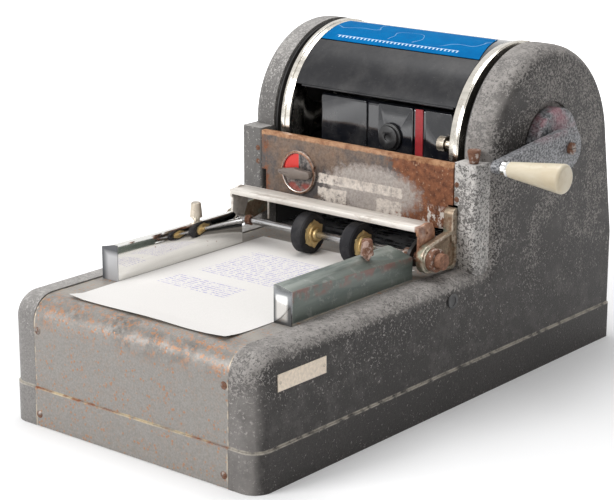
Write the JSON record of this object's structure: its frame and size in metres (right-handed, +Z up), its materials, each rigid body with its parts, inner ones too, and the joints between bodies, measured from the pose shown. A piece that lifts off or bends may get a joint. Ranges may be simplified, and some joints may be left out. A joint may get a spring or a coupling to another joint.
{
  "type": "stencil duplicator",
  "caption": "Hand-cranked rotary stencil duplicator with feed table, side guides, rubber feed wheels, ink drum and impression roller.",
  "frame": {"origin": "middle of the flat underside, on the table it stands on", "axes": "+X to the machine's right, the crank side; +Y from the feed table to the drum; +Z up"},
  "size_m": [0.435, 0.624, 0.358],
  "materials": {
    "dark_steel": "satin",
    "hammered_grey": "hammered, worn",
    "table_paint": "hammered, rust specks",
    "rusty_steel": "rusty",
    "black_paint": "satin",
    "bright_steel": "brushed",
    "bronze": "turned",
    "panel_enamel": "worn, rusty",
    "chrome": "polished",
    "dial_red": "gloss",
    "black_plastic": "gloss",
    "bronze_paint": "worn",
    "paper": "matte",
    "black_enamel": "gloss",
    "header_blue": "satin",
    "gauge_red": "satin",
    "crank_grey": "hammered",
    "cream_plastic": "satin",
    "nickel": "knurled",
    "black_rubber": "matte",
    "brass": "machined",
    "guide_grey": "brushed, worn"
  },
  "bodies": {
    "machine": {"base_plate": "dark_steel", "left_casting": "hammered_grey", "right_casting": "hammered_grey", "feed_table": "table_paint", "table_rails": "dark_steel", "rear_panel": "hammered_grey", "front_screws": "rusty_steel", "left_frame_plate": "black_paint", "right_frame_plate": "black_paint", "tie_rods": "bright_steel", "left_bearing": "bronze", "right_bearing": "bronze", "lever_stud": "bright_steel", "left_post": "hammered_grey", "right_post": "hammered_grey", "post_screws": "rusty_steel", "control_panel": "panel_enamel", "dial_bezel": "chrome", "dial_face": "dial_red", "side_plug": "black_plastic", "lead_in_plate": "bright_steel", "exit_plate": "bright_steel", "left_feed_bracket": "bronze_paint", "right_feed_bracket": "bronze_paint", "paper_sheet": "paper"},
    "drum": {"drum_shaft": "bright_steel", "left_ring": "chrome", "right_ring": "chrome", "ink_screen": "black_enamel", "cover_plate": "black_enamel", "stencil_header": "header_blue", "ink_tank": "black_enamel", "tank_covers": "black_enamel", "tank_brackets": "dark_steel", "ink_gauge": "gauge_red", "feed_cam": "bright_steel", "crank_arm": "crank_grey", "crank_screw": "rusty_steel", "handle_spindle": "chrome"},
    "grip": {"handle_grip": "cream_plastic"},
    "ink_knob": {"ink_knob": "black_plastic"},
    "lock_knob": {"lock_knob": "nickel"},
    "feed_rollers": {"feed_shaft": "bright_steel", "feed_wheels": "black_rubber", "wheel_hubs": "brass", "shaft_collars": "rusty_steel", "shaft_nut": "rusty_steel"},
    "guard": {"guard_bar": "chrome"},
    "clutch": {"clutch_arm": "dark_steel"},
    "link": {"feed_link": "dark_steel"},
    "lever": {"feed_lever": "dark_steel"},
    "impression_frame": {"impression_arms": "dark_steel"},
    "press_roller": {"impression_roller": "black_rubber", "roller_core": "bright_steel"},
    "left_guide": {"left_guide": "chrome"},
    "right_guide": {"right_guide": "guide_grey"},
    "left_clamp": {"left_guide_screw": "nickel"},
    "right_clamp": {"right_guide_screw": "nickel"},
    "selector": {"selector_knob": "nickel"},
    "pressure_screw": {"pressure_screw": "rusty_steel"}
  },
  "joints": [
    {"name": "drum_turn", "type": "hinge", "parent": "machine", "child": "drum", "pos_m": [0, 0.169, 0.251], "axis": [1, 0, 0], "continuous": true},
    {"name": "grip_spin", "type": "hinge", "parent": "drum", "child": "grip", "pos_m": [0.2, 0.04, 0.253], "axis": [1, 0, 0], "continuous": true},
    {"name": "ink_knob_turn", "type": "hinge", "parent": "drum", "child": "ink_knob", "pos_m": [0.01699, 0.08, 0.2534], "axis": [0, 1, 0], "range_deg": [0, 270]},
    {"name": "lock_knob_turn", "type": "hinge", "parent": "drum", "child": "lock_knob", "pos_m": [0.09, 0.076, 0.258], "axis": [1, 0, 0], "range_deg": [0, 90]},
    {"name": "feed_shaft_turn", "type": "hinge", "parent": "machine", "child": "feed_rollers", "pos_m": [0, -0.006, 0.1571], "axis": [1, 0, 0], "continuous": true},
    {"name": "guard_swing", "type": "hinge", "parent": "machine", "child": "guard", "pos_m": [0, -0.006, 0.1571], "axis": [1, 0, 0], "range_deg": [0, 30]},
    {"name": "clutch_rock", "type": "hinge", "parent": "machine", "child": "clutch", "pos_m": [0.1177, -0.006, 0.1571], "axis": [1, 0, 0], "range_deg": [0, 12]},
    {"name": "link_shift", "type": "hinge", "parent": "clutch", "child": "link", "pos_m": [0.1232, 0.0035, 0.1711], "axis": [1, 0, 0], "range_deg": [-12, 0]},
    {"name": "lever_rock", "type": "hinge", "parent": "machine", "child": "lever", "pos_m": [0.1256, 0.108, 0.1501], "axis": [1, 0, 0], "range_deg": [0, 12]},
    {"name": "impression_lift", "type": "hinge", "parent": "machine", "child": "impression_frame", "pos_m": [0, 0.252, 0.108], "axis": [-1, 0, 0], "range_deg": [0, 2]},
    {"name": "press_roller_spin", "type": "hinge", "parent": "impression_frame", "child": "press_roller", "pos_m": [0, 0.169, 0.1193], "axis": [1, 0, 0], "continuous": true},
    {"name": "left_guide_slide", "type": "slide", "parent": "machine", "child": "left_guide", "axis": [-1, 0, 0], "range_m": [0, 0.003]},
    {"name": "right_guide_slide", "type": "slide", "parent": "machine", "child": "right_guide", "axis": [1, 0, 0], "range_m": [0, 0.003]},
    {"name": "left_clamp_turn", "type": "hinge", "parent": "left_guide", "child": "left_clamp", "pos_m": [-0.1164, -0.084, 0.17], "axis": [0, 0, 1], "range_deg": [0, 180]},
    {"name": "right_clamp_turn", "type": "hinge", "parent": "right_guide", "child": "right_clamp", "pos_m": [0.1164, -0.084, 0.17], "axis": [0, 0, 1], "range_deg": [0, 180]},
    {"name": "selector_turn", "type": "hinge", "parent": "machine", "child": "selector", "pos_m": [-0.07645, 0.04, 0.2075], "axis": [0, 1, 0], "range_deg": [0, 90]},
    {"name": "pressure_screw_turn", "type": "hinge", "parent": "machine", "child": "pressure_screw", "pos_m": [0.15005, 0.0515, 0.255], "axis": [0, 0, 1], "range_deg": [0, 180]}
  ],
  "couplings": [
    {"joint": "link_shift", "follows": "clutch_rock", "ratio": -1},
    {"joint": "lever_rock", "follows": "clutch_rock", "ratio": 1}
  ]
}
